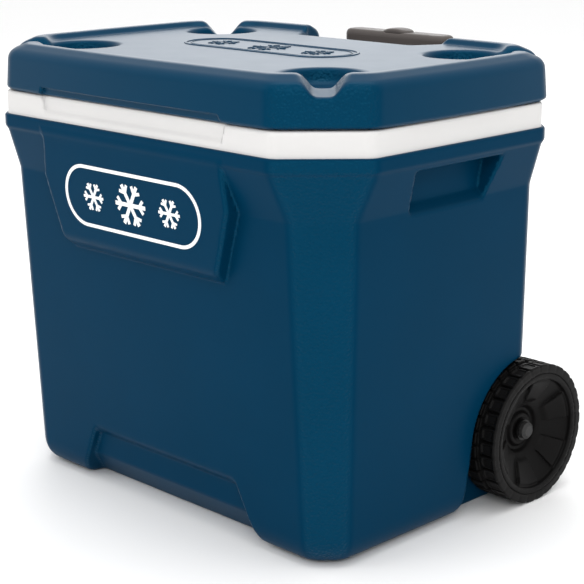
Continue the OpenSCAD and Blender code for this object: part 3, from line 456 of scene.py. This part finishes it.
POCKET_LOW, POCKET_TOP, POCKET_BACK = 334, 378, 235.5
SLOT_TOP, SLOT_FRONT = 384, 251.5
pocket_back = soft_table([[300, WALL_X], [POCKET_LOW, WALL_X], [POCKET_LOW + 10, POCKET_BACK],
                          [400, POCKET_BACK]], 1)
pocket_half = line([[POCKET_LOW, 53], [POCKET_TOP, 63]])


def hand_pocket(x, y, z):
    ax = np.abs(x)
    side = np.abs(y) - pocket_half(z)
    main = smax(smax(pocket_back(z) - ax, POCKET_LOW - z, 3), z - POCKET_TOP, 1)
    slot = np.maximum(np.maximum(POCKET_BACK - ax, ax - SLOT_FRONT),
                      np.maximum(POCKET_TOP - 6 - z, z - SLOT_TOP))
    return smax(smin(main, slot, 1), side, 5)


TOE_TOP = 66
toe_half = line([[0, 140], [TOE_TOP, 108]])
toe_deep = soft_table([[-5, 35], [-1, 32], [30, 10], [56, 10], [TOE_TOP, 0], [90, -24]], 1.5)


def toe_recess(x, y, z):
    return smax(smax(y + front_at(z) - toe_deep(z), np.abs(x) - toe_half(z), 6),
                z - TOE_TOP - 1, 1)


DRAIN_Y, DRAIN_Z, DRAIN_SEAT, DRAIN_R = -60, 48, 233.4, 21
SHELL_DEPTH = 7


def body_block(x, y, z):
    side = octagon(x, y, wall_end(z), wall_front(z), wall_back(z), wall_bevel(z), wall_bevel(z),
                   CORNER_SOFT)
    shape = smax(side, -z, 30)
    shape = smin(shape, label_panel(x, y, z), 4)
    shape = smin(shape, handle_pad(x, y, z), 4)
    shape = cut(shape, wheel_arch(x, y, z), 3)
    shape = cut(shape, hand_pocket(x, y, z), 3)
    shape = cut(shape, toe_recess(x, y, z), 4)
    drain = smax(np.hypot(y - DRAIN_Y, z - DRAIN_Z) - DRAIN_R, x + DRAIN_SEAT, 1)
    return cut(shape, drain, 1)


def outer_shell(x, y, z):
    block = body_block(x, y, z)
    return np.maximum(smax(block, z - COLLAR_TOP, 2.5), -(block + SHELL_DEPTH))


moulded("outer_shell_skin", outer_shell, (-266, -190, 0), (266, 190, 398), 3.0, blue, "cooler_body",
        ["outer_shell"])

# ---- tub and rim ----

RIM_TOP, RIM_LOW, RIM_IN = 422, 390, 3.5
RIM_FACE = COLLAR_Y - RIM_IN
TUB_X, TUB_Y, TUB_FLOOR, TUB_WALL = 227, 150.5, 30, 6.5
TUB_DRAFT, TUB_BACK_DRAFT, TUB_BEVEL, TUB_SOFT = 2.7, 4.4, 42, 8
HUMP_X, HUMP_Y, HUMP_TOP = 195, 33.8, 167.7
BAY_X, BAY_Y = 97, 119


def tub_outline(x, y, z, grow, bevel):
    """The tub's eight-sided outline at height z, narrower further down."""
    fall = RIM_TOP - z
    return octagon(x, y, TUB_X - fall * tan(TUB_DRAFT) + grow, TUB_Y - fall * tan(TUB_DRAFT) + grow,
                   TUB_Y - fall * tan(TUB_BACK_DRAFT) + grow, bevel, bevel, TUB_SOFT)


def tub(x, y, z, grow=0):
    shape = smax(tub_outline(x, y, z, grow, TUB_BEVEL), TUB_FLOOR - grow - z, 18)
    hump = np.maximum(np.maximum(HUMP_X + grow - np.abs(x), HUMP_Y + grow - y), z - HUMP_TOP + grow)
    bay = np.maximum(np.abs(x) - BAY_X + grow, BAY_Y + grow - y)
    return cut(cut(shape, hump, 10), bay, 10)


# the rim's recess under the lid's finger pull
RECESS_LOW = 401
recess_half = line([[402, 131], [422, 137]])
recess_face = soft_table([[380, RIM_FACE + 3], [RECESS_LOW, RIM_FACE + 1], [404, RIM_FACE - 1],
                          [408, RIM_FACE - 4], [440, RIM_FACE - 4]], 1)


def rim_and_tub(x, y, z):
    bevel = COLLAR_BEVEL - 0.586 * RIM_IN
    rim = octagon(x, y, COLLAR_X - RIM_IN, RIM_FACE, RIM_FACE, bevel, bevel, 5)
    rim = np.maximum(rim, RIM_LOW - z)
    recess = smax(y + recess_face(z), np.abs(x) - recess_half(z), 2)
    recess = np.maximum(recess, RECESS_LOW - z)
    shape = smax(np.minimum(rim, tub(x, y, z, TUB_WALL)), z - RIM_TOP, 2.5)
    return cut(cut(shape, tub(x, y, z), 4), recess, 2)


moulded("rim_and_tub_skin", rim_and_tub, (-263, -187, 22), (263, 187, 422), 3.0, white, "cooler_body",
        ["inner_liner"])

# ---- lid ----

LID_LOW, LID_TOP, DECK, LID_X, LID_Y = 422.6, 470, 464, 263, 186.5
FRONT_BEVEL, BACK_BEVEL, BOW_LONG, BOW_END = 66, 59, 5, 3.5
NOTCH_Y, NOTCH_HALF = 131, 83
lid_inset = soft_table([[415, 3], [LID_LOW, 3], [LID_LOW + 3, 0], [462, 2], [480, 3]], 1.2)
# the lid's height against the depth in from its edge: slope, raised band, deck
lid_top = soft_table([[-20, 451], [2, 462], [18, LID_TOP], [27, LID_TOP], [32.5, DECK], [200, DECK]], 1.6)
notch_half = soft_table([[100, NOTCH_HALF], [NOTCH_Y, NOTCH_HALF], [165, 103], [220, 107.5]], 3)
PULL_TOP = 430.6
pull_back = line([[421.6, -183.5], [PULL_TOP, -184.5]])
pull_half = line([[421.6, 137], [PULL_TOP, 131]])
CUP_X, CUP_Y, CUP_R, CUP_DEPTH = 178, 100, 37, 16
CHANNEL_SLOPE, CHANNEL_START, CHANNEL_FLOOR, CHANNEL_FLARE = 7, 18, 8.5, 14.5
HINGE_X, HINGE_HALF, HINGE_SEAT, HINGE_TOP = 155, 26, 186.2, 457.6
UNDER_IN, UNDER_TOP, LINER_IN = 6.3, 426.4, 6.6
PLUG_GAP, PLUG_LOW = 2, 409.6


def lid_outline(x, y, inset, front, back, soft, corner=1):
    """The lid's crowned eight-sided outline; front and back are its corner bevels."""
    return octagon(x, y, LID_X - inset, LID_Y - inset, LID_Y - inset, front, back, soft, BOW_LONG,
                   BOW_END, corner)


def corner_channel(x, y, z):
    u, v = np.abs(x) - CUP_X, np.abs(y) - CUP_Y
    along, across = (u + v) / ROOT2, (u - v) / ROOT2
    above = z - (DECK - 4 - along * tan(CHANNEL_SLOPE))
    side = (np.abs(across) - CHANNEL_FLOOR - above * CHANNEL_FLARE / 18) * 0.78
    return smax(smax(-above, side, 3), CHANNEL_START - along, 6)


def lid_notch(x, y, z, grow=0):
    return smax(NOTCH_Y - grow - y, (np.abs(x) - notch_half(y) - grow) * 0.88, 8)


def finger_pull(x, y, z, grow=0):
    shape = smax(y - pull_back(z) - grow, np.abs(x) - pull_half(z) - grow, 1)
    return smax(shape, z - PULL_TOP - grow, 1)


def lid_shell(x, y, z):
    side = lid_outline(x, y, lid_inset(z), FRONT_BEVEL, BACK_BEVEL, 7)
    depth = -lid_outline(x, y, 0, FRONT_BEVEL + 1, BACK_BEVEL + 1, 7, corner=0.85)
    shape = smax(side, (z - lid_top(depth)) * 0.9, 7)
    shape = smax(shape, LID_LOW - z, 3)
    r = np.hypot(np.abs(x) - CUP_X, np.abs(y) - CUP_Y) - CUP_R
    shape = cut(shape, smax(r, DECK - CUP_DEPTH - z, 12), 8)
    shape = cut(shape, corner_channel(x, y, z), 4)
    shape = cut(shape, lid_notch(x, y, z), 6)
    shape = cut(shape, finger_pull(x, y, z), 1.2)
    seat = np.maximum(np.abs(np.abs(x) - HINGE_X) - HINGE_HALF,
                      np.maximum(HINGE_SEAT - y, z - HINGE_TOP))
    shape = cut(shape, seat, 1)
    under = lid_outline(x, y, UNDER_IN, FRONT_BEVEL - 3, BACK_BEVEL - 3, 4)
    under = np.maximum(under, z - UNDER_TOP)
    under = np.maximum(under, -lid_notch(x, y, z, 3))
    under = np.maximum(under, -finger_pull(x, y, z, 3))
    return np.maximum(shape, -under)


moulded("lid_shell_skin", lid_shell, (-268, -193, 422), (268, 193, 471), 2.5, blue_deck, "lid",
        ["lid_shell"])


def lid_liner(x, y, z):
    plate = lid_outline(x, y, LINER_IN, FRONT_BEVEL - 3, BACK_BEVEL - 3, 4)
    plate = smax(smax(plate, 422.4 - z, 1), z - 426.1, 0.5)
    plug = tub_outline(x, y, z, -PLUG_GAP, TUB_BEVEL - 1)
    bay = np.maximum(np.abs(x) - BAY_X - PLUG_GAP, BAY_Y - PLUG_GAP - y)
    plug = smax(smax(cut(plug, bay, 10), PLUG_LOW - z, 6), z - 426, 0.5)
    inner = octagon(x, y, TUB_X - 30, TUB_Y - 30, 87, 30, 30, 20)
    dish = smax(inner, z - PLUG_LOW - 1.9, 2)
    shape = cut(smin(plate, plug, 4), dish, 2)
    shape = np.maximum(shape, -lid_notch(x, y, z, 3.3))
    return np.maximum(shape, -finger_pull(x, y, z, 3.3))


moulded("lid_liner_skin", lid_liner, (-258, -187, 409), (258, 187, 426.5), 2.5, white, "lid",
        ["lid_liner"])

# ---- deck emblem: a raised outline and three snowflakes ----


def stroke(points, width, height, closed):
    """A raised line with a rounded section along points of [x, y]; returns vertices and faces."""
    p = np.array(points, float)
    ahead = np.roll(p, -1, 0) - p
    behind = p - np.roll(p, 1, 0)
    if not closed:
        ahead[-1], behind[0] = behind[-1], ahead[0]
    along = ahead + behind
    along /= np.linalg.norm(along, axis=1, keepdims=True)
    out = np.stack([along[:, 1], -along[:, 0]], 1)
    section = [(-0.5, -0.3), (-0.42, 0.45), (-0.2, 0.9), (0.2, 0.9), (0.42, 0.45), (0.5, -0.3)]
    verts = [(*(q + o * width * a), height * b) for q, o in zip(p, out) for a, b in section]
    n, m = len(p), len(section)
    faces = []
    for i in range(n if closed else n - 1):
        j = (i + 1) % n
        for k in range(m):
            faces.append((i * m + k, i * m + (k + 1) % m, j * m + (k + 1) % m, j * m + k))
    if not closed:
        faces += [tuple(range(m))[::-1], tuple((n - 1) * m + k for k in range(m))]
    return verts, faces


def pill_line(length, width, steps=24):
    r = width / 2
    points = []
    for end, start in ((length / 2 - r, -90), (-(length / 2 - r), 90)):
        for i in range(steps + 1):
            a = math.radians(start + 180 * i / steps)
            points.append((end + r * math.cos(a), r * math.sin(a)))
    return points


def snowflake_lines(size):
    lines = []
    for k in range(6):
        a = math.radians(60 * k)
        arm = np.array([math.cos(a), math.sin(a)])
        lines.append([arm * 0.03 * size, arm * 0.25 * size, arm * 0.5 * size])
        for turn in (-50, 50):
            b = a + math.radians(turn)
            fork = np.array([math.cos(b), math.sin(b)])
            lines.append([arm * 0.3 * size, arm * 0.3 * size + fork * 0.17 * size])
    return lines


def add_emblem():
    centre, base = np.array([-8.0, 12.0]), DECK + 0.05
    shapes = [stroke(pill_line(226, 72), 3.4, 1.0, True), stroke(pill_line(214, 60), 1.8, 0.7, True)]
    for x, size in ((-70, 34), (0, 46), (70, 34)):
        for points in snowflake_lines(size):
            shapes.append(stroke([q + np.array([x, 0]) for q in points], 2.6, 0.9, False))
    verts, faces = [], []
    for v, f in shapes:
        start = len(verts)
        verts += [((q[0] + centre[0]) * MM, (q[1] + centre[1]) * MM, (q[2] + base) * MM) for q in v]
        faces += [tuple(i + start for i in g) for g in f]
    mesh = new_mesh("lid_emblem", verts, faces)
    add_object("lid_emblem", mesh, blue_deck, "lid", [])


add_emblem()

# ---- wheels ----

WHEEL_R, WHEEL_IN, WHEEL_OUT = 74.1, 215, 257
RING_IN, RING_OUT, HUB_R, HUB_OUT = 58.1, 64.1, 15, 236
BLOCKS, ROW, BLOCK_HALF, BLOCK_ROOT = 30, 18.5, 6.3, 66
WHEEL_MID, SPOKES, SPOKE_HALF, BORE_R = 236, 6, 2, 6.1


def polar(x, y, z):
    return np.hypot(y - AXLE_Y, z - AXLE_Z), np.arctan2(z - AXLE_Z, y - AXLE_Y)


def tyre(x, y, z):
    r, a = polar(x, y, z)
    carcass = smax(smax(r - 70.1, np.abs(x - WHEEL_MID) - 21, 3), RING_OUT + 0.05 - r, 0.5)
    pitch = 2 * math.pi / BLOCKS
    shape = carcass
    for low, high, shift in ((WHEEL_IN, WHEEL_IN + ROW, 0.0), (WHEEL_OUT - ROW, WHEEL_OUT, 0.5)):
        turn = (a / pitch - shift) % 1 - 0.5
        across = np.abs(turn) * pitch * 72 - BLOCK_HALF
        wide = np.abs(x - (low + high) / 2) - (high - low) / 2
        block = smax(smax(across, wide, 2), r - WHEEL_R, 1.6)
        block = smax(block, BLOCK_ROOT - r, 1)
        dish = smax(smax(across + 2.2, wide + 3.2, 2), WHEEL_R - 1.2 - r, 0.6)
        shape = smin(shape, cut(block, dish, 0.8), 1)
    flange = smax(smax(r - 73.2, BLOCK_ROOT - r, 1), np.abs(x - 255) - 1.9, 1.5)
    return smin(shape, flange, 0.6)


# the dish's outer face and the height of its six raised pads, against the radius
rim_face = soft_table([[0, 231], [11, 231], [13, 234.5], [17, 234.5], [19, 230.5], [23, 230.5],
                       [25, 235], [29, 237.5], [59, 251.5], [60.5, 256.6], [75, 256.6]], 0.7)
pad_rise = soft_table([[0, 0], [30, 0], [34, 3.2], [54, 4.4], [59, 0.6], [61, 0], [80, 0]], 1.0)


def wheel_rim(x, y, z):
    r, a = polar(x, y, z)
    turn = np.abs((a * SPOKES / (2 * math.pi) + 0.15) % 1 - 0.5) * 2
    raised = np.clip((0.56 - turn) * r / 40 / 0.05, 0, 1)
    raised = raised * raised * (3 - 2 * raised)
    face = rim_face(r) + pad_rise(r) * raised
    dish = smax((x - face) * 0.85, (face - 5 - x) * 0.85, 1)
    dish = smax(dish, r - RING_OUT, 1)
    hub = smax(smax(r - HUB_R, 214 - x, 1), x - HUB_OUT + 2, 1)
    ring = smax(smax(r - RING_OUT, RING_IN - r, 1), np.abs(x - WHEEL_MID) - 20.8, 1.5)
    spoke_turn = np.abs((a * SPOKES / (2 * math.pi)) % 1 - 0.5)
    spoke = smax((spoke_turn * 2 * math.pi / SPOKES) * np.maximum(r, 5) - SPOKE_HALF, r - 60, 1)
    spoke = smax(smax(spoke, 218 - x, 1), x - face + 2, 1)
    shape = smin(smin(dish, hub, 2), smin(ring, spoke, 2), 2)
    return cut(shape, r - BORE_R, 0.6)


box_low = (WHEEL_IN - 2, AXLE_Y - 75, 0)
box_high = (WHEEL_OUT + 1, AXLE_Y + 75, 149)
for side, mirrored in (("right", False), ("left", True)):
    moulded("tyre_skin_" + side, tyre, box_low, box_high, 1.5, rubber, "wheel_" + side,
            ["tyre_" + side], mirrored)
    moulded("wheel_dish_" + side, wheel_rim, box_low, box_high, 1.5, wheel_black, "wheel_" + side,
            ["wheel_rim_" + side], mirrored)

# ---- grip and button ----

HANDLE_Y, GRIP_LOW, GRIP_TOP, GRIP_SPLIT = 205, 440, 467, 454
GRIP_HALF, GRIP_DEEP, TUBE_X = 74, 15, 48
BUTTON_LONG, BUTTON_WIDE, BUTTON_TOP, DOME_R = 38, 20, 471, 60


def pill(x, y, length, width):
    return np.hypot(np.maximum(np.abs(x) - (length - width) / 2, 0), y) - width / 2


def grip(x, y, z):
    v = y - HANDLE_Y
    section = rounded_box(v, z - (GRIP_LOW + GRIP_TOP) / 2, GRIP_DEEP, 13.5, 7)
    shape = smax(section, rounded_box(x, v, GRIP_HALF, GRIP_DEEP, 13), 7)
    hollow = np.maximum(np.maximum(np.abs(x) - 62, np.abs(v) - 8.5), np.abs(z - 453.5) - 9.5)
    post = np.maximum(np.hypot(np.abs(x) - TUBE_X, v) - 13.4, z - 449)
    hollow = cut(hollow, post, 0.5)
    well = np.maximum(pill(x, v, BUTTON_LONG + 0.8, BUTTON_WIDE + 0.8), 455 - z)
    socket = np.maximum(np.hypot(np.abs(x) - TUBE_X, v) - 8.5, z - 449)
    return cut(np.maximum(np.maximum(shape, -hollow), -socket), well, 1.6)


def grip_upper(x, y, z):
    return smax(grip(x, y, z), GRIP_SPLIT + 0.15 - z, 0.8)


def grip_lower(x, y, z):
    return smax(grip(x, y, z), z - GRIP_SPLIT + 0.15, 0.8)


def button(x, y, z):
    v = y - HANDLE_Y
    dome = np.sqrt(x * x + v ** 2 + (z - (BUTTON_TOP - DOME_R)) ** 2) - DOME_R
    return smax(smax(pill(x, v, BUTTON_LONG, BUTTON_WIDE), dome, 3), 458 - z, 0.6)


moulded("grip_upper_skin", grip_upper, (-75, 189, 453), (75, 221, 468), 1.2, grey, "handle_top",
        ["grip_upper"])
moulded("grip_lower_skin", grip_lower, (-75, 189, 439), (75, 221, 455), 1.2, grey, "handle_top",
        ["grip_lower"])
moulded("button_skin", button, (-20, 194, 457), (20, 216, 472), 1.0, grey, "button",
        ["release_button"])

# ---- studio ----


LENS, SENSOR = 99.2131, 36


def add_camera():
    azimuth, elevation, roll = math.radians(45.36), math.radians(14.887), math.radians(-0.323)
    back = Vector((math.sin(azimuth) * math.cos(elevation), -math.cos(azimuth) * math.cos(elevation),
                   math.sin(elevation)))
    right = Vector((math.cos(azimuth), math.sin(azimuth), 0))
    up = back.cross(right)
    r = math.cos(roll) * right + math.sin(roll) * up
    u = -math.sin(roll) * right + math.cos(roll) * up
    data = bpy.data.cameras.new("camera")
    data.sensor_width = SENSOR
    data.lens = LENS
    data.clip_end = 30
    camera = bpy.data.objects.new("camera", data)
    bpy.context.scene.collection.objects.link(camera)
    camera.matrix_world = Matrix(((r.x, u.x, back.x, 1.200447), (r.y, u.y, back.y, -1.150281),
                                  (r.z, u.z, back.z, 0.6475), (0, 0, 0, 1)))
    bpy.context.scene.camera = camera


def add_floor():
    mesh = bpy.data.meshes.new("floor")
    mesh.from_pydata([(-9, -9, 0), (9, -9, 0), (9, 9, 0), (-9, 9, 0)], [], [(0, 1, 2, 3)])
    floor = bpy.data.objects.new("floor", mesh)
    bpy.context.scene.collection.objects.link(floor)
    material = bpy.data.materials.new("floor")
    material.use_nodes = True
    shader = material.node_tree.nodes["Principled BSDF"]
    shader.inputs["Base Color"].default_value = (0.94, 0.94, 0.94, 1)
    shader.inputs["Roughness"].default_value = 0.7
    mesh.materials.append(material)


def add_light(name, place, target, size, power):
    data = bpy.data.lights.new(name, "AREA")
    data.shape = "DISK"
    data.size = size
    data.energy = power
    light = bpy.data.objects.new(name, data)
    bpy.context.scene.collection.objects.link(light)
    light.location = place
    light.rotation_euler = (Vector(target) - Vector(place)).to_track_quat("-Z", "Y").to_euler()


def add_world():
    world = bpy.data.worlds.new("studio")
    world.use_nodes = True
    background = world.node_tree.nodes["Background"]
    background.inputs["Color"].default_value = (1, 1, 1, 1)
    background.inputs["Strength"].default_value = 1.02
    bpy.context.scene.world = world


add_camera()
add_floor()
add_world()
add_light("key", (-1.2, -2.4, 2.6), (0, 0, 0.3), 1.8, 10)
add_light("front", (2.3, -2.3, 2.3), (0, 0, 0.4), 1.2, 22)
add_light("top", (0.2, 0.0, 3.0), (0, 0, 0.3), 2.2, 34)
add_light("behind", (-2.6, 2.7, 1.9), (0, 0, 0.45), 2.8, 34)
bpy.context.scene.view_settings.view_transform = "Standard"
